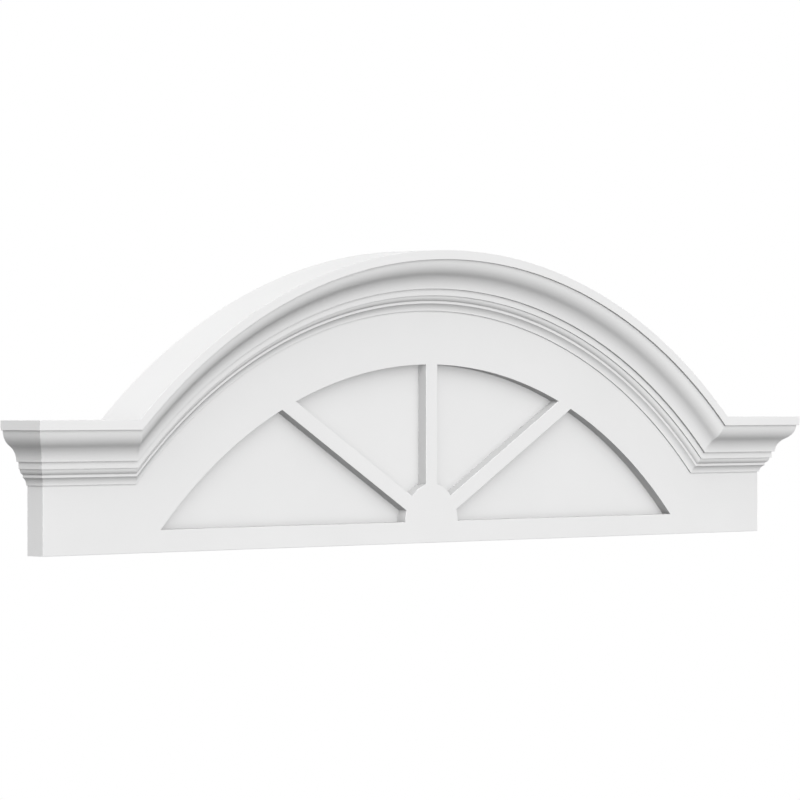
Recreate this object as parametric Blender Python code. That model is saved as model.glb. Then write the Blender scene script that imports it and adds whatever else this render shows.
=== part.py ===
"""Segmental pediment for the top of a door or window, built of boards and one crown moulding.

The wall is the plane y = 0 and the front faces -Y. X runs along the pediment, Z is up, and the
origin is the middle of the flat back. A place on the crown is given by its depth, measured down
from the crown's top edge, and by how far out it stands from the front of the fascia.
"""
import math

import bmesh
import bpy

# Driving dimensions in metres, heights measured from the underside
fascia_width = 1.352
ear_height = 0.1625
arch_height = 0.3808
arch_radius = 0.822
back_thickness = 0.0135
face_thickness = 0.0139
joint_gap = 0.0003

# The fan cut through the face board
arch_band_width = 0.1483
rail_height = 0.0278
spoke_width = 0.0215
hub_radius = 0.0498
diagonal_spoke_angle = math.radians(30)

# The crown moulding's members from its top to its foot, each overhang a step back
top_fillet_height = 0.0119
top_fillet_overhang = 0.0032
cyma_height = 0.0378
cyma_projection = 0.0216
cyma_round_share = 0.5
cyma_overhang = 0.0033
middle_fillet_height = 0.0087
middle_fillet_overhang = 0.0020
ovolo_height = 0.0067
ovolo_projection = 0.0042
ovolo_overhang = 0.00055
lower_fillet_height = 0.0035
cove_height = 0.0096
cove_projection = 0.00565
foot_overhang = 0.0018

# Facets along each curve
arch_steps = 60
opening_steps = 20
hub_steps = 8
cyma_steps = 5
small_curve_steps = 4
cutter_overrun = 0.004
sharp_edge_angle = math.radians(20)
flat_angle = math.radians(0.02)

# The paint
paint_color = (0.86, 0.86, 0.86, 1.0)
paint_roughness = 0.5

# Places that follow from the driving dimensions
half_width = fascia_width / 2
underside_z = -arch_height / 2
ear_top_z = underside_z + ear_height
rail_top_z = underside_z + rail_height
arch_centre_z = underside_z + arch_height - arch_radius
opening_radius = arch_radius - arch_band_width
face_back_y = -(back_thickness + joint_gap)
fascia_front_y = face_back_y - face_thickness
crown_projection = (
    top_fillet_overhang + cyma_projection + cyma_overhang + middle_fillet_overhang
    + ovolo_projection + ovolo_overhang + cove_projection + foot_overhang
)


def add_round(profile, height, projection, steps):
    """Add a convex arc to the profile. It starts upright and turns in towards the fascia."""
    radius = (height ** 2 + projection ** 2) / (2 * projection)
    full_turn = math.asin(height / radius)
    depth, out = profile[-1]
    for step in range(1, steps + 1):
        turn = full_turn * step / steps
        profile.append((depth + radius * math.sin(turn), out - radius * (1 - math.cos(turn))))


def add_hollow(profile, height, projection, steps):
    """Add a concave arc to the profile. It comes in from the slope and ends upright."""
    radius = (height ** 2 + projection ** 2) / (2 * projection)
    full_turn = math.asin(height / radius)
    depth = profile[-1][0] + height
    out = profile[-1][1] - projection
    for step in range(steps - 1, -1, -1):
        turn = full_turn * step / steps
        profile.append((depth - radius * math.sin(turn), out + radius * (1 - math.cos(turn))))


def add_fillet(profile, height):
    """Add a flat upright face to the profile."""
    depth, out = profile[-1]
    profile.append((depth + height, out))


def step_back(profile, overhang):
    """Add the narrow level soffit under a member."""
    depth, out = profile[-1]
    profile.append((depth, out - overhang))


def crown_profile():
    """The moulding's face from its top edge to its foot, as pairs of depth and out."""
    profile = [(0.0, crown_projection)]
    add_fillet(profile, top_fillet_height)
    step_back(profile, top_fillet_overhang)
    hollow_share = 1 - cyma_round_share
    add_round(profile, cyma_round_share * cyma_height, cyma_round_share * cyma_projection, cyma_steps)
    add_hollow(profile, hollow_share * cyma_height, hollow_share * cyma_projection, cyma_steps)
    step_back(profile, cyma_overhang)
    add_fillet(profile, middle_fillet_height)
    step_back(profile, middle_fillet_overhang)
    add_round(profile, ovolo_height, ovolo_projection, small_curve_steps)
    step_back(profile, ovolo_overhang)
    add_fillet(profile, lower_fillet_height)
    add_hollow(profile, cove_height, cove_projection, small_curve_steps)
    return profile


def mitre_x(depth):
    """Distance from the middle at which an ear's moulding meets the arch's at the same depth."""
    height_above_centre = ear_top_z - depth - arch_centre_z
    return math.sqrt((arch_radius - depth) ** 2 - height_above_centre ** 2)


def mitre_angle(depth):
    """Angle of that meeting point above the horizontal, seen from the arch's centre."""
    return math.acos(mitre_x(depth) / (arch_radius - depth))


def arch_angle(step):
    """Angle of one of the arch's sections, from the right end to the left."""
    first = mitre_angle(0.0)
    return first + (math.pi - 2 * first) * step / arch_steps


def make_material(name):
    """Satin white paint for one part."""
    material = bpy.data.materials.new(name)
    material.use_nodes = True
    shader = material.node_tree.nodes["Principled BSDF"]
    shader.inputs["Base Color"].default_value = paint_color
    shader.inputs["Roughness"].default_value = paint_roughness
    shader.inputs["Metallic"].default_value = 0.0
    return material


def make_object(name, bm, parent=None):
    """Turn the bmesh into an object with its own material."""
    bmesh.ops.recalc_face_normals(bm, faces=bm.faces)
    mesh = bpy.data.meshes.new(name)
    bm.to_mesh(mesh)
    bm.free()
    mesh.shade_smooth()
    mesh.set_sharp_from_angle(angle=sharp_edge_angle)
    mesh.materials.append(make_material(name + "_paint"))
    part = bpy.data.objects.new(name, mesh)
    bpy.context.collection.objects.link(part)
    part.parent = parent
    return part


def make_board(name, outline, front_y, back_y, parent=None):
    """A flat board cut to an outline of x and z pairs."""
    bm = bmesh.new()
    face = bm.faces.new([bm.verts.new((x, back_y, z)) for x, z in outline])
    extruded = bmesh.ops.extrude_face_region(bm, geom=[face])
    front_verts = [item for item in extruded["geom"] if isinstance(item, bmesh.types.BMVert)]
    bmesh.ops.translate(bm, verts=front_verts, vec=(0.0, front_y - back_y, 0.0))
    return make_object(name, bm, parent)


def board_outline():
    """Outline of both boards: the underside, the ears and the arch."""
    outline = [(-half_width, underside_z), (half_width, underside_z), (half_width, ear_top_z)]
    for step in range(arch_steps + 1):
        angle = arch_angle(step)
        outline.append((arch_radius * math.cos(angle), arch_centre_z + arch_radius * math.sin(angle)))
    outline.append((-half_width, ear_top_z))
    return outline


def spoke_edge(angle, offset):
    """Where a spoke's edge leaves the hub and where it meets the opening's arch.

    The edge is parallel to the spoke at this angle and lies offset to its left, seen from the hub.
    """
    start_x = -offset * math.sin(angle)
    start_z = rail_top_z + offset * math.cos(angle)
    to_hub = math.sqrt(hub_radius ** 2 - offset ** 2)
    above_centre = start_z - arch_centre_z
    along = start_x * math.cos(angle) + above_centre * math.sin(angle)
    beyond = start_x ** 2 + above_centre ** 2 - opening_radius ** 2
    to_arch = -along + math.sqrt(along ** 2 - beyond)
    return [(start_x + reach * math.cos(angle), start_z + reach * math.sin(angle))
            for reach in (to_hub, to_arch)]


def arc_between(first, last, centre_z, steps):
    """Points along a circle centred above or below the middle, without the two end points."""
    radius = math.hypot(first[0], first[1] - centre_z)
    first_angle = math.atan2(first[1] - centre_z, first[0])
    last_angle = math.atan2(last[1] - centre_z, last[0])
    points = []
    for step in range(1, steps):
        angle = first_angle + (last_angle - first_angle) * step / steps
        points.append((radius * math.cos(angle), centre_z + radius * math.sin(angle)))
    return points


def panel_outline(low_angle, low_offset, high_angle, high_offset):
    """Outline of one opening of the fan, between two spokes or a spoke and the rail."""
    low_hub, low_arch = spoke_edge(low_angle, low_offset)
    high_hub, high_arch = spoke_edge(high_angle, high_offset)
    outline = [low_hub, low_arch]
    outline += arc_between(low_arch, high_arch, arch_centre_z, opening_steps)
    outline += [high_arch, high_hub]
    outline += arc_between(high_hub, low_hub, rail_top_z, hub_steps)
    return outline


def make_back_board(parent):
    """The sheet on the wall, whose front is the floor of the recesses."""
    return make_board("back_board", board_outline(), -back_thickness, 0.0, parent)


def make_face_board(parent):
    """The pierced front board: rail, hub, spokes and surround in one piece."""
    board = make_board("face_board", board_outline(), fascia_front_y, face_back_y, parent)
    half_spoke = spoke_width / 2
    spoke_angles = [diagonal_spoke_angle, math.pi / 2, math.pi - diagonal_spoke_angle]
    low_sides = [(0.0, 0.0)] + [(angle, half_spoke) for angle in spoke_angles]
    high_sides = [(angle, -half_spoke) for angle in spoke_angles] + [(math.pi, 0.0)]
    for number, (low, high) in enumerate(zip(low_sides, high_sides), start=1):
        cutter = make_board(f"panel_cutter_{number}", panel_outline(*low, *high),
                            fascia_front_y - cutter_overrun, face_back_y + cutter_overrun)
        cutter.hide_render = True
        cutter.display_type = "WIRE"
        cut = board.modifiers.new(cutter.name, "BOOLEAN")
        cut.operation = "DIFFERENCE"
        cut.object = cutter
    return board


def add_section(bm, place):
    """Fill the crown's section at one end, with a strip of faces from each depth to the next."""
    depth_layer = bm.verts.layers.float.new("depth")
    out_layer = bm.verts.layers.float.new("out")

    def add_vertex(depth, out):
        vertex = bm.verts.new(place(depth, out))
        vertex[depth_layer] = depth
        vertex[out_layer] = out
        return vertex

    levels = []
    for depth, out in crown_profile():
        vertex = add_vertex(depth, out)
        if levels and levels[-1][0] == depth:
            levels[-1][1].append(vertex)
        else:
            levels.append((depth, [vertex]))
    back_verts = [add_vertex(depth, joint_gap) for depth, _ in levels]
    faces = []
    for index in range(len(levels) - 1):
        above = levels[index][1]
        below = levels[index + 1][1]
        faces.append(bm.faces.new([back_verts[index], above[-1], *below, back_verts[index + 1]]))
    return faces, depth_layer, out_layer


def make_moulding(name, places, parent):
    """A length of crown moulding, its section carried from each place to the next.

    Each place is a function from depth and out to a point, so a place can be a mitre.
    """
    bm = bmesh.new()
    faces, depth_layer, out_layer = add_section(bm, places[0])
    for number, place in enumerate(places[1:]):
        extruded = bmesh.ops.extrude_face_region(bm, geom=faces)
        for item in extruded["geom"]:
            if isinstance(item, bmesh.types.BMVert):
                item.co = place(item[depth_layer], item[out_layer])
        if number > 0:
            bmesh.ops.delete(bm, geom=faces, context="FACES_ONLY")
        faces = [item for item in extruded["geom"] if isinstance(item, bmesh.types.BMFace)]
    bmesh.ops.dissolve_limit(bm, angle_limit=flat_angle, verts=bm.verts, edges=bm.edges)
    return make_object(name, bm, parent)


def arch_mitre(side):
    """The arch moulding's end at an ear, on the curve where equal depths meet."""
    def place(depth, out):
        z = ear_top_z - depth
        return (side * mitre_x(depth), fascia_front_y - out, z)
    return place


def arch_section(step):
    """A section of the arch moulding across its radius."""
    def place(depth, out):
        angle = arch_angle(step)
        radius = arch_radius - depth
        return (radius * math.cos(angle), fascia_front_y - out, arch_centre_z + radius * math.sin(angle))
    return place


def ear_inner_end(side):
    """The ear moulding's end against the arch moulding."""
    def place(depth, out):
        return (side * (mitre_x(depth) + joint_gap), fascia_front_y - out, ear_top_z - depth)
    return place


def ear_outer_end(side):
    """The ear moulding's end at the corner, cut at 45 degrees."""
    def place(depth, out):
        along = half_width + out - joint_gap / math.sqrt(2)
        return (side * along, fascia_front_y - out, ear_top_z - depth)
    return place


def return_front_end(side):
    """The return's end at the corner, cut at 45 degrees."""
    def place(depth, out):
        forward = fascia_front_y - out + joint_gap / math.sqrt(2)
        return (side * (half_width + out), forward, ear_top_z - depth)
    return place


def return_wall_end(side):
    """The return's square end on the wall."""
    def place(depth, out):
        return (side * (half_width + out), 0.0, ear_top_z - depth)
    return place


def make_crown(parent):
    """All the lengths of crown moulding: the arch, the two ears and the two returns."""
    middle_sections = [arch_section(step) for step in range(1, arch_steps)]
    make_moulding("arch_crown", [arch_mitre(1), *middle_sections, arch_mitre(-1)], parent)
    for name, side in (("left", -1), ("right", 1)):
        make_moulding(name + "_crown", [ear_inner_end(side), ear_outer_end(side)], parent)
        make_moulding(name + "_return", [return_front_end(side), return_wall_end(side)], parent)


def main():
    """Clear the file and build the pediment."""
    for old in list(bpy.data.objects):
        bpy.data.objects.remove(old, do_unlink=True)
    pediment = bpy.data.objects.new("pediment", None)
    bpy.context.collection.objects.link(pediment)
    make_back_board(pediment)
    make_face_board(pediment)
    make_crown(pediment)


main()
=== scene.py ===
# %% [markdown]
# # A segmental pediment in satin white
#
# This lesson dresses a pediment for the top of a door or window: a flat fascia with a level ear
# at each end, a segment of a circle between them, and a crown moulding that follows both. Under
# the arch a fan of recessed panels is cut between a rail, a half-round hub and three spokes.
# The solids of the frame are right in size but faceted, and stand a hair apart. On the real
# thing the joints are filled and painted, so each piece is made again here, finer and closed up.

# %% Load the frame
import math

import bmesh
import bpy
from mathutils import Matrix, Vector


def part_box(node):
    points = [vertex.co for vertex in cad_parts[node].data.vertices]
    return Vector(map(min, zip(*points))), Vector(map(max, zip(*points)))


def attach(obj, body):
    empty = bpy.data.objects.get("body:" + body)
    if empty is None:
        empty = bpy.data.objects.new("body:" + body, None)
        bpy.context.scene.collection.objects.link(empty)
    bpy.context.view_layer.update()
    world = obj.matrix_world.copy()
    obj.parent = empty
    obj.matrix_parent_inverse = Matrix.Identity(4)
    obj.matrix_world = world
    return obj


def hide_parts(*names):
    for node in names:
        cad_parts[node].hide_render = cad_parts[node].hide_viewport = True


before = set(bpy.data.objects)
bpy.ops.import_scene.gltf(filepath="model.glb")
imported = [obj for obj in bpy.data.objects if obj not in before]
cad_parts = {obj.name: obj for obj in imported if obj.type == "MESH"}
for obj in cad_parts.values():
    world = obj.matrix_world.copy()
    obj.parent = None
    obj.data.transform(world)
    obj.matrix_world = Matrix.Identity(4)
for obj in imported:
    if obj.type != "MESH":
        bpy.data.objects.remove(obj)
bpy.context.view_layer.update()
print("frame nodes:", sorted(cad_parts))

# %% [markdown]
# ## Sizes
#
# Whatever the frame can tell is read from it, so the new pieces stay where the solids are. The
# wall is the plane y = 0 and the front faces -Y. The arch is the circle through the top of the
# arch and the two corners where it meets the ears, and a chord and its rise give its radius.

# %% Read the main sizes from the frame
back_low, back_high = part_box("back_board")
face_low, face_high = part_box("face_board")
ear_low, ear_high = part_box("right_crown")
return_low, return_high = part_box("right_return")
arch_low, arch_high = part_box("arch_crown")

half_width = back_high.x
underside_z = back_low.z
arch_top_z = back_high.z
ear_top_z = ear_high.z
fascia_front_y = face_low.y
recess_floor_y = back_low.y
arch_rise = arch_top_z - ear_top_z
arch_radius = (arch_high.x ** 2 + arch_rise ** 2) / (2 * arch_rise)
arch_centre_z = arch_top_z - arch_radius
print(f"arch radius {1000 * arch_radius:.1f} mm, centre {1000 * arch_centre_z:.1f} mm")

# %% [markdown]
# ## The fan and the moulding's members
#
# These sizes can't be read from a box. The moulding is listed as a joiner would name it from its
# top to its foot: a deep fillet, a reversed cyma, a fillet, an ovolo, a small fillet and a cove.
# Each overhang is the narrow level step under a member, which draws the fine dark lines.

# %% Name the sizes of the fan and the moulding, in metres
arch_band_width = 0.1483
rail_height = 0.0278
spoke_width = 0.0215
hub_radius = 0.0498
diagonal_spoke_angle = math.radians(30)

top_fillet_height = 0.0119
top_fillet_overhang = 0.0032
cyma_height = 0.0378
cyma_projection = 0.0216
cyma_round_share = 0.5
cyma_overhang = 0.0033
middle_fillet_height = 0.0087
middle_fillet_overhang = 0.0020
ovolo_height = 0.0067
ovolo_projection = 0.0042
ovolo_overhang = 0.00055
lower_fillet_height = 0.0035
cove_height = 0.0096
cove_projection = 0.00565
foot_overhang = 0.0018

crown_projection = fascia_front_y - arch_low.y
crown_height = ear_high.z - ear_low.z
opening_radius = arch_radius - arch_band_width
rail_top_z = underside_z + rail_height
print(f"crown {1000 * crown_height:.1f} mm high, stands {1000 * crown_projection:.1f} mm out")

# %% [markdown]
# ## Drawing with operators
#
# An outline can be drawn as a pen would draw it: extrude one vertex to go straight, and spin one
# vertex about a centre to go round. Both leave edges behind, so the outline comes out as a chain
# that can be filled, extruded and spun. `Pen` keeps the vertex it last reached.

# %% A pen that draws edges
class Pen:
    """Draws a chain of edges in the plane across the length (y and z) or along the wall (x and z)."""

    def __init__(self, bm, start):
        self.bm = bm
        self.first = bm.verts.new(start)
        self.last = self.first

    def line(self, dx=0.0, dy=0.0, dz=0.0):
        """Go straight by this much."""
        extruded = bmesh.ops.extrude_vert_indiv(self.bm, verts=[self.last])
        self.last = extruded["verts"][0]
        bmesh.ops.translate(self.bm, verts=[self.last], vec=(dx, dy, dz))

    def line_to(self, place):
        """Go straight to this place."""
        here = self.last.co
        self.line(place[0] - here.x, place[1] - here.y, place[2] - here.z)

    def arc(self, centre, axis, angle, steps):
        """Go round a centre."""
        spun = bmesh.ops.spin(self.bm, geom=[self.last], cent=centre, axis=axis, angle=angle, steps=steps)
        self.last = [item for item in spun["geom_last"] if isinstance(item, bmesh.types.BMVert)][0]

    def close(self):
        """Join the end to the start."""
        self.bm.edges.new((self.last, self.first))


# %% [markdown]
# ## The moulding's section
#
# Convex and hollow members are arcs that stand upright at one end, so a height and a projection
# fix the radius. The section is drawn in the plane x = 0, its top at z = 0 and its back against
# the fascia.

# %% Draw the section of the crown moulding
cyma_steps = 12
small_curve_steps = 10
length_axis = (1.0, 0.0, 0.0)


def round_member(pen, height, projection, steps):
    """A convex arc that starts upright and turns in towards the fascia."""
    radius = (height ** 2 + projection ** 2) / (2 * projection)
    here = pen.last.co
    pen.arc((0.0, here.y + radius, here.z), length_axis, math.asin(height / radius), steps)


def hollow_member(pen, height, projection, steps):
    """A concave arc that comes in from the slope and ends upright."""
    radius = (height ** 2 + projection ** 2) / (2 * projection)
    here = pen.last.co
    centre = (0.0, here.y + projection - radius, here.z - height)
    pen.arc(centre, length_axis, -math.asin(height / radius), steps)


def draw_section(bm):
    """The section of the moulding as one face."""
    pen = Pen(bm, (0.0, fascia_front_y, 0.0))
    pen.line(dy=-crown_projection)
    pen.line(dz=-top_fillet_height)
    pen.line(dy=top_fillet_overhang)
    hollow_share = 1 - cyma_round_share
    round_member(pen, cyma_round_share * cyma_height, cyma_round_share * cyma_projection, cyma_steps)
    hollow_member(pen, hollow_share * cyma_height, hollow_share * cyma_projection, cyma_steps)
    pen.line(dy=cyma_overhang)
    pen.line(dz=-middle_fillet_height)
    pen.line(dy=middle_fillet_overhang)
    round_member(pen, ovolo_height, ovolo_projection, small_curve_steps)
    pen.line(dy=ovolo_overhang)
    pen.line(dz=-lower_fillet_height)
    hollow_member(pen, cove_height, cove_projection, small_curve_steps)
    pen.line(dy=foot_overhang)
    pen.close()
    return bmesh.ops.contextual_create(bm, geom=bm.edges)["faces"][0]


trial = bmesh.new()
section = draw_section(trial)
print(f"section of {len(section.verts)} points, {1e6 * section.calc_area():.0f} square mm")
trial.free()

# %% [markdown]
# ## Eased corners
#
# Paint never leaves a knife edge, so a vertex bevel of a few tenths of a millimetre eases each
# corner of the section that shows. The back corners stay square, flush with the boards behind.

# %% Ease the corners of the section
corner_ease = 0.0003
corner_segments = 3
corner_turn = math.radians(30)


def ease_corners(bm, section):
    """Round the section's sharp corners, apart from the two at its back."""
    sharp = []
    for corner in section.loops:
        here = corner.vert.co
        arriving = here - corner.link_loop_prev.vert.co
        leaving = corner.link_loop_next.vert.co - here
        if arriving.angle(leaving) > corner_turn and here.y < fascia_front_y - corner_ease:
            sharp.append(corner.vert)
    bmesh.ops.bevel(bm, geom=sharp, offset=corner_ease, segments=corner_segments, profile=0.5,
                    affect="VERTICES", material=-1)


def eased_section():
    """A new bmesh that holds the eased section."""
    bm = bmesh.new()
    ease_corners(bm, draw_section(bm))
    return bm


trial = eased_section()
foot_z = min(vertex.co.z for vertex in trial.verts)
print(f"eased section of {len(trial.verts)} points, {-1000 * foot_z:.2f} mm high")
trial.free()

# %% [markdown]
# ## Satin white paint
#
# The pediment is cellular plastic under a smooth white coat. Close up such a coat isn't one flat
# colour: it is a touch thicker and glossier in some places, and has the fine pebbling that a
# sprayer leaves. Three noises give that, all on object coordinates so that the pattern stays
# with the piece: a broad one for tone, a finer one for gloss and the finest for the pebbling.

# %% Mix the paint
tone_scale = 7.0
tone_detail = 4.0
dark_tone = (0.868, 0.868, 0.868, 1.0)
light_tone = (0.882, 0.882, 0.882, 1.0)
gloss_scale = 55.0
gloss_detail = 3.0
low_roughness = 0.46
high_roughness = 0.58
sheen_level = 0.35
pebble_scale = 700.0
pebble_detail = 2.0
pebble_strength = 0.25
pebble_depth = 0.00004


def add_noise(tree, coordinates, scale, detail):
    """A noise texture on the object's own coordinates."""
    noise = tree.nodes.new("ShaderNodeTexNoise")
    noise.inputs["Scale"].default_value = scale
    noise.inputs["Detail"].default_value = detail
    tree.links.new(coordinates.outputs["Object"], noise.inputs["Vector"])
    return noise.outputs["Fac"]


def make_paint():
    """Satin white paint over smooth moulded trim."""
    paint = bpy.data.materials.new("satin_white_paint")
    paint.use_nodes = True
    tree = paint.node_tree
    shader = tree.nodes["Principled BSDF"]
    shader.inputs["Specular IOR Level"].default_value = sheen_level
    coordinates = tree.nodes.new("ShaderNodeTexCoord")

    tone = tree.nodes.new("ShaderNodeValToRGB")
    tone.color_ramp.elements[0].position = 0.35
    tone.color_ramp.elements[0].color = dark_tone
    tone.color_ramp.elements[1].position = 0.65
    tone.color_ramp.elements[1].color = light_tone
    tree.links.new(add_noise(tree, coordinates, tone_scale, tone_detail), tone.inputs["Fac"])
    tree.links.new(tone.outputs["Color"], shader.inputs["Base Color"])

    gloss = tree.nodes.new("ShaderNodeMapRange")
    gloss.inputs["To Min"].default_value = low_roughness
    gloss.inputs["To Max"].default_value = high_roughness
    tree.links.new(add_noise(tree, coordinates, gloss_scale, gloss_detail), gloss.inputs["Value"])
    tree.links.new(gloss.outputs["Result"], shader.inputs["Roughness"])

    pebble = tree.nodes.new("ShaderNodeBump")
    pebble.inputs["Strength"].default_value = pebble_strength
    pebble.inputs["Distance"].default_value = pebble_depth
    tree.links.new(add_noise(tree, coordinates, pebble_scale, pebble_detail), pebble.inputs["Height"])
    tree.links.new(pebble.outputs["Normal"], shader.inputs["Normal"])
    return paint


satin_paint = make_paint()
print("paint nodes:", len(satin_paint.node_tree.nodes))

# %% [markdown]
# ## From a bmesh to a piece
#
# Every piece is finished the same way. Its faces are turned outwards, curves are shaded smooth
# and edges that turn more than a few degrees stay crisp. Then it rides on the frame's one body
# and stands for the solid that it replaces.

# %% A helper that finishes a piece
crisp_turn = math.radians(10)


def finish_piece(bm, name, node):
    """Make the bmesh a painted piece that stands for one node of the frame."""
    bmesh.ops.recalc_face_normals(bm, faces=bm.faces)
    mesh = bpy.data.meshes.new(name)
    bm.to_mesh(mesh)
    bm.free()
    mesh.shade_smooth()
    mesh.set_sharp_from_angle(angle=crisp_turn)
    mesh.materials.append(satin_paint)
    piece = bpy.data.objects.new(name, mesh)
    bpy.context.scene.collection.objects.link(piece)
    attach(piece, "root")
    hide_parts(node)
    triangles = sum(len(polygon.vertices) - 2 for polygon in mesh.polygons)
    print(f"{name}: {triangles} triangles")


# %% [markdown]
# ## The moulding over the arch
#
# A joiner bends a length of moulding round the arch. Here the section is moved to the top of the
# arch, turned to the right-hand end and spun about the arch's centre to the left-hand end.
#
# At an ear the bent moulding meets a straight one. Points of equal depth below the top edge have
# to meet, and a line and a circle that sink together cross along a slightly curved mitre. So the
# last few sections lean over, each more than the one before, until the last lies on that curve.

# %% Work out the mitre between an ear and the arch
arch_steps = 180
lean_reach = math.radians(9)
# Seen from the front, a positive turn about this axis goes clockwise.
depth_axis = (0.0, 1.0, 0.0)
arch_centre = (0.0, 0.0, arch_centre_z)


def mitre_x(depth):
    """Distance from the middle at which the ear and arch mouldings meet at one depth."""
    above_centre = ear_top_z - depth - arch_centre_z
    return math.sqrt((arch_radius - depth) ** 2 - above_centre ** 2)


def mitre_angle(depth):
    """Angle of that place above the horizontal, seen from the arch's centre."""
    return math.acos(mitre_x(depth) / (arch_radius - depth))


end_angle = mitre_angle(0.0)
arch_half_turn = math.pi / 2 - end_angle
print(f"the arch spans {math.degrees(2 * arch_half_turn):.1f} degrees")

# %% [markdown]
# The lean grows from nothing, `lean_reach` before the end, to the whole difference at the end.

# %% Spin the moulding over the arch
def lean_to_mitre(bm):
    """Lean the sections near each end until the last one lies on the mitre."""
    for vertex in bm.verts:
        side = math.copysign(1.0, vertex.co.x)
        rise = vertex.co.z - arch_centre_z
        radius = math.hypot(vertex.co.x, rise)
        angle = math.atan2(rise, abs(vertex.co.x))
        share = max(0.0, 1 - (angle - end_angle) / lean_reach)
        angle += share * (mitre_angle(arch_radius - radius) - end_angle)
        vertex.co.x = side * radius * math.cos(angle)
        vertex.co.z = arch_centre_z + radius * math.sin(angle)


def make_arch_moulding():
    """The bent length of moulding over the arch."""
    bm = eased_section()
    bmesh.ops.translate(bm, verts=bm.verts, vec=(0.0, 0.0, arch_top_z))
    to_right_end = Matrix.Rotation(arch_half_turn, 3, "Y")
    bmesh.ops.rotate(bm, verts=bm.verts, cent=arch_centre, matrix=to_right_end)
    start = bm.verts[:] + bm.edges[:] + bm.faces[:]
    bmesh.ops.spin(bm, geom=start, cent=arch_centre, axis=depth_axis, angle=-2 * arch_half_turn,
                   steps=arch_steps)
    lean_to_mitre(bm)
    finish_piece(bm, "arch_moulding", "arch_crown")


make_arch_moulding()

# %% [markdown]
# ## The straight mouldings and their returns
#
# An ear's moulding is the same section pushed out straight. Each of its ends is a mitre: against
# the arch on the curve above, and at the corner at 45 degrees, where a short return carries the
# moulding back to the wall. The section is extruded once, and then every vertex of each end
# slides along the length until it lies on its mitre.

# %% Push out the ears and the returns
def slide_to_ends(bm, first_verts, last_verts, first_place, last_place):
    """Put each vertex of both ends where its place says, given its depth and how far out it is."""
    for verts, place in ((first_verts, first_place), (last_verts, last_place)):
        for vertex in verts:
            depth = -vertex.co.z
            out = fascia_front_y - vertex.co.y
            vertex.co = place(depth, out)


def make_straight_moulding(name, node, first_place, last_place):
    """A straight length of moulding between two ends."""
    bm = eased_section()
    first_verts = bm.verts[:]
    pushed = bmesh.ops.extrude_face_region(bm, geom=bm.faces[:])
    last_verts = [item for item in pushed["geom"] if isinstance(item, bmesh.types.BMVert)]
    slide_to_ends(bm, first_verts, last_verts, first_place, last_place)
    finish_piece(bm, name, node)


def make_ear(side, word):
    """The level moulding on one ear and the return at its corner."""
    def at_arch(depth, out):
        return (side * mitre_x(depth), fascia_front_y - out, ear_top_z - depth)

    def at_corner(depth, out):
        return (side * (half_width + out), fascia_front_y - out, ear_top_z - depth)

    def at_wall(depth, out):
        return (side * (half_width + out), 0.0, ear_top_z - depth)

    make_straight_moulding(f"{word}_ear_moulding", f"{word}_crown", at_arch, at_corner)
    make_straight_moulding(f"{word}_return_moulding", f"{word}_return", at_corner, at_wall)


make_ear(-1, "left")
make_ear(1, "right")

# %% [markdown]
# ## The boards
#
# Two flat boards share one outline: the underside, the ears and the arch. The pen draws it at
# the board's front, and the arch gets as many steps as the moulding so that both lie flush. Then
# it is filled and pushed back. The front of the back board is the floor of the recesses.

# %% Draw the outline and make the back board
def draw_outline(bm, y):
    """The outline that both boards share, as a closed chain of edges."""
    pen = Pen(bm, (-half_width, y, underside_z))
    pen.line_to((half_width, y, underside_z))
    pen.line_to((half_width, y, ear_top_z))
    pen.line_to((mitre_x(0.0), y, ear_top_z))
    pen.arc(arch_centre, depth_axis, -2 * arch_half_turn, arch_steps)
    pen.line_to((-half_width, y, ear_top_z))
    pen.close()


def push_board(bm, thickness):
    """Fill the drawn chains and push the face back by the board's thickness."""
    bmesh.ops.triangle_fill(bm, use_beauty=True, use_dissolve=True, edges=bm.edges,
                            normal=(0.0, -1.0, 0.0))
    pushed = bmesh.ops.extrude_face_region(bm, geom=bm.faces[:])
    far_verts = [item for item in pushed["geom"] if isinstance(item, bmesh.types.BMVert)]
    bmesh.ops.translate(bm, verts=far_verts, vec=(0.0, thickness, 0.0))


def make_back_board():
    """The sheet that lies on the wall."""
    bm = bmesh.new()
    draw_outline(bm, recess_floor_y)
    push_board(bm, -recess_floor_y)
    finish_piece(bm, "backing_sheet", "back_board")


make_back_board()

# %% [markdown]
# ## The openings of the fan
#
# Each opening of the fan lies between two neighbours: the rail and a spoke, or two spokes. Its
# sides are parallel to the spokes' middles, half a spoke's width away, and it ends on the hub's
# circle and on the opening's, which has the same centre as the arch. So one function works out
# where such a side leaves the hub and meets the opening, and the pen goes round from there.

# %% Draw one opening
opening_steps = 64
hub_steps = 20


def side_of_spoke(angle, offset):
    """Both ends of a spoke's side that lies this far to the left of the spoke's middle."""
    start_x = -offset * math.sin(angle)
    start_z = rail_top_z + offset * math.cos(angle)
    to_hub = math.sqrt(hub_radius ** 2 - offset ** 2)
    above_centre = start_z - arch_centre_z
    along = start_x * math.cos(angle) + above_centre * math.sin(angle)
    beyond = start_x ** 2 + above_centre ** 2 - opening_radius ** 2
    to_opening = -along + math.sqrt(along ** 2 - beyond)
    return [(start_x + reach * math.cos(angle), fascia_front_y, start_z + reach * math.sin(angle))
            for reach in (to_hub, to_opening)]


def turn_about(centre_z, first, last):
    """Angle from one place to another, seen from a centre on the upright middle line."""
    first_angle = math.atan2(first[2] - centre_z, first[0])
    return math.atan2(last[2] - centre_z, last[0]) - first_angle


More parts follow.
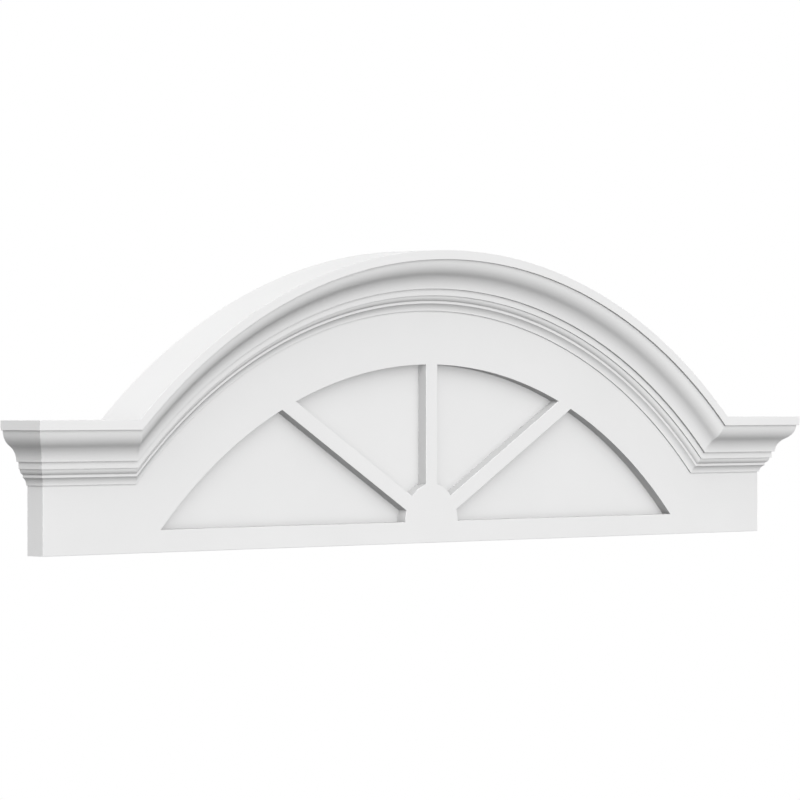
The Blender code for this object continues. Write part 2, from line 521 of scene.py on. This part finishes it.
def draw_opening(bm, low, high):
    """One opening, between a lower and an upper side."""
    low_at_hub, low_at_opening = side_of_spoke(*low)
    high_at_hub, high_at_opening = side_of_spoke(*high)
    pen = Pen(bm, low_at_hub)
    pen.line_to(low_at_opening)
    round_arch = turn_about(arch_centre_z, low_at_opening, high_at_opening)
    pen.arc(arch_centre, depth_axis, -round_arch, opening_steps)
    pen.line_to(high_at_hub)
    round_hub = turn_about(rail_top_z, high_at_hub, low_at_hub)
    pen.arc((0.0, 0.0, rail_top_z), depth_axis, -round_hub, hub_steps)


side_start, side_end = side_of_spoke(diagonal_spoke_angle, -spoke_width / 2)
print(f"a diagonal spoke's lower side is {1000 * math.dist(side_start, side_end):.1f} mm long")

# %% [markdown]
# ## The pierced face board
#
# The outline and the four openings are filled together, which leaves the openings as holes. The
# edges round the front are eased, apart from the top ones, which the moulding lies flush with.

# %% Make the face board
edge_ease = 0.0005
edge_segments = 3
tolerance = 0.00001


def is_top_edge(edge):
    """Whether an edge lies along the top of an ear or of the arch."""
    for vertex in edge.verts:
        from_centre = math.hypot(vertex.co.x, vertex.co.z - arch_centre_z)
        on_arch = abs(from_centre - arch_radius) < tolerance
        beside_arch = abs(vertex.co.x) > mitre_x(0.0) - tolerance
        on_ear = beside_arch and abs(vertex.co.z - ear_top_z) < tolerance
        if not (on_arch or on_ear):
            return False
    return True


def ease_front_edges(bm):
    """Ease the edges round the fascia's front, apart from those at its top."""
    rim = []
    for edge in bm.edges:
        on_front = all(abs(vertex.co.y - fascia_front_y) < tolerance for vertex in edge.verts)
        if on_front and edge.calc_face_angle() > corner_turn and not is_top_edge(edge):
            rim.append(edge)
    bmesh.ops.bevel(bm, geom=rim, offset=edge_ease, segments=edge_segments, profile=0.5,
                    affect="EDGES", material=-1)


def make_face_board():
    """The front board with the rail, the hub and the spokes of the fan."""
    half_spoke = spoke_width / 2
    spokes = (diagonal_spoke_angle, math.pi / 2, math.pi - diagonal_spoke_angle)
    low_sides = [(0.0, 0.0)] + [(angle, half_spoke) for angle in spokes]
    high_sides = [(angle, -half_spoke) for angle in spokes] + [(math.pi, 0.0)]
    bm = bmesh.new()
    draw_outline(bm, fascia_front_y)
    for low, high in zip(low_sides, high_sides):
        draw_opening(bm, low, high)
    bmesh.ops.remove_doubles(bm, verts=bm.verts, dist=tolerance)
    push_board(bm, recess_floor_y - fascia_front_y)
    ease_front_edges(bm)
    finish_piece(bm, "fan_board", "face_board")


make_face_board()

# %% [markdown]
# ## Light
#
# The photograph is a soft studio picture: pure white around the piece, no shadow edge anywhere,
# and light from large boxes in front, high at the left and overhead. A very large soft box is a
# bright patch of sky that fades out to its sides, so the world's strength is the sum of such
# patches, each worked out from the angle between a ray and the box. One more, behind at the
# right, reaches no surface that the photograph shows much of, and lights the other sides.
#
# White paint lights its neighbours. In the photograph that is hardly seen, since soffits stay
# dark, so light doesn't bounce from surface to surface here. The camera sees plain white.

# %% Name the soft boxes and write their fading as nodes
white = (1.0, 1.0, 1.0, 1.0)
box_fade = 3.0
soft_boxes = {
    "front": ((0.0, -1.0, 0.0), 0.38),
    "high front": ((-0.5, -1.0, 1.0), 1.19),
    "high left": ((-1.0, 0.0, 1.0), 0.57),
    "overhead": ((0.0, 0.0, 1.0), 0.21),
    "behind": ((0.75, 1.0, 0.0), 1.50),
}


def add_math(tree, operation, first, second):
    """A math node on one link and one link or number."""
    node = tree.nodes.new("ShaderNodeMath")
    node.operation = operation
    tree.links.new(first, node.inputs[0])
    if isinstance(second, float):
        node.inputs[1].default_value = second
    else:
        tree.links.new(second, node.inputs[1])
    return node.outputs["Value"]


def add_soft_box(tree, ray, direction, strength):
    """The strength that one soft box adds along a ray."""
    facing = tree.nodes.new("ShaderNodeVectorMath")
    facing.operation = "DOT_PRODUCT"
    facing.inputs[1].default_value = Vector(direction).normalized()
    tree.links.new(ray, facing.inputs[0])
    ahead = add_math(tree, "MAXIMUM", facing.outputs["Value"], 0.0)
    faded = add_math(tree, "POWER", ahead, box_fade)
    return add_math(tree, "MULTIPLY", faded, strength)


print("soft boxes:", ", ".join(soft_boxes))

# %% [markdown]
# The world adds the boxes up. A ray from the camera gets plain white in their place.

# %% Make the soft studio light
def add_background(tree):
    """A white background shader."""
    background = tree.nodes.new("ShaderNodeBackground")
    background.inputs["Color"].default_value = white
    return background


def make_world():
    """A white studio with large soft boxes, which the camera sees as plain white."""
    world = bpy.data.worlds.new("studio")
    world.use_nodes = True
    tree = world.node_tree
    tree.nodes.clear()
    ray = tree.nodes.new("ShaderNodeTexCoord").outputs["Generated"]
    total = None
    for direction, strength in soft_boxes.values():
        share = add_soft_box(tree, ray, direction, strength)
        total = share if total is None else add_math(tree, "ADD", total, share)
    boxes_light = add_background(tree)
    tree.links.new(total, boxes_light.inputs["Strength"])
    plain_white = add_background(tree)
    path = tree.nodes.new("ShaderNodeLightPath")
    mix = tree.nodes.new("ShaderNodeMixShader")
    tree.links.new(path.outputs["Is Camera Ray"], mix.inputs["Fac"])
    tree.links.new(boxes_light.outputs["Background"], mix.inputs[1])
    tree.links.new(plain_white.outputs["Background"], mix.inputs[2])
    output = tree.nodes.new("ShaderNodeOutputWorld")
    tree.links.new(mix.outputs["Shader"], output.inputs["Surface"])
    return world


bpy.context.scene.world = make_world()
bpy.context.scene.cycles.diffuse_bounces = 0
bpy.context.scene.view_settings.view_transform = "Standard"
print("studio nodes:", len(bpy.context.scene.world.node_tree.nodes))

# %% [markdown]
# ## Fill light
#
# With soft boxes alone the creases under each overhang come out much darker than the thin grey
# lines of the photograph. Photographers lift such creases with fill light. Here it is two sun
# lamps that throw no shadow, so they reach into a crease as well as onto the face beside it.

# %% Add the fill lamps
fill_lamps = {
    "front": ((-0.5, -1.0, 0.0), 90.0, 1.47),
    "high left": ((-1.0, 0.0, 1.0), 20.0, 0.50),
}


def add_fill_lamp(name, direction, width, strength):
    """A sun lamp of this width in degrees, without shadows, which shines from this direction."""
    lamp_data = bpy.data.lights.new(f"{name} fill", "SUN")
    lamp_data.energy = strength
    lamp_data.angle = math.radians(width)
    lamp_data.use_shadow = False
    lamp = bpy.data.objects.new(f"{name} fill", lamp_data)
    lamp.rotation_euler = Vector(direction).to_track_quat("Z", "Y").to_euler()
    bpy.context.scene.collection.objects.link(lamp)


for name, (direction, width, strength) in fill_lamps.items():
    add_fill_lamp(name, direction, width, strength)
print("fill lamps:", ", ".join(fill_lamps))

# %% [markdown]
# ## The floor
#
# The pediment belongs on a wall, above eye level, so the floor lies well below it. It is pale and
# plain, and it throws no light up, or the undersides would lose the depth that they have in the
# photograph.

# %% Lay the floor
floor_drop = 0.55
floor_radius = 2.2
floor_segments = 96
floor_tone = (0.9, 0.9, 0.9, 1.0)
floor_roughness = 0.9


def make_floor():
    """A plain pale disc below the piece."""
    bm = bmesh.new()
    bmesh.ops.create_circle(bm, cap_ends=True, segments=floor_segments, radius=floor_radius)
    bmesh.ops.translate(bm, verts=bm.verts, vec=(0.0, 0.0, underside_z - floor_drop))
    mesh = bpy.data.meshes.new("floor")
    bm.to_mesh(mesh)
    bm.free()
    pale = bpy.data.materials.new("pale_floor")
    pale.use_nodes = True
    shader = pale.node_tree.nodes["Principled BSDF"]
    shader.inputs["Base Color"].default_value = floor_tone
    shader.inputs["Roughness"].default_value = floor_roughness
    mesh.materials.append(pale)
    floor = bpy.data.objects.new("floor", mesh)
    bpy.context.scene.collection.objects.link(floor)
    floor.visible_diffuse = False
    floor.visible_glossy = False
    floor.visible_shadow = False


make_floor()
print(f"floor {1000 * floor_drop:.0f} mm below the underside")

# %% [markdown]
# ## The camera
#
# The photograph's upright edges stay parallel and its level edges meet far to the right, so the
# camera stands level at the height of the piece, far off to the left, with a long lens.

# %% Place the camera
camera_place = (-4.0185, -3.8029, -0.0012)
camera_turn = math.radians(-46.356)
camera_pitch = math.radians(89.97)
camera_lens = 190.0
sensor_width = 36.0
farthest_seen = 100.0

camera_data = bpy.data.cameras.new("camera")
camera_data.lens = camera_lens
camera_data.sensor_width = sensor_width
camera_data.clip_end = farthest_seen
camera = bpy.data.objects.new("camera", camera_data)
camera.location = camera_place
camera.rotation_euler = (camera_pitch, 0.0, camera_turn)
bpy.context.scene.collection.objects.link(camera)
bpy.context.scene.camera = camera
print("camera at", camera_place)
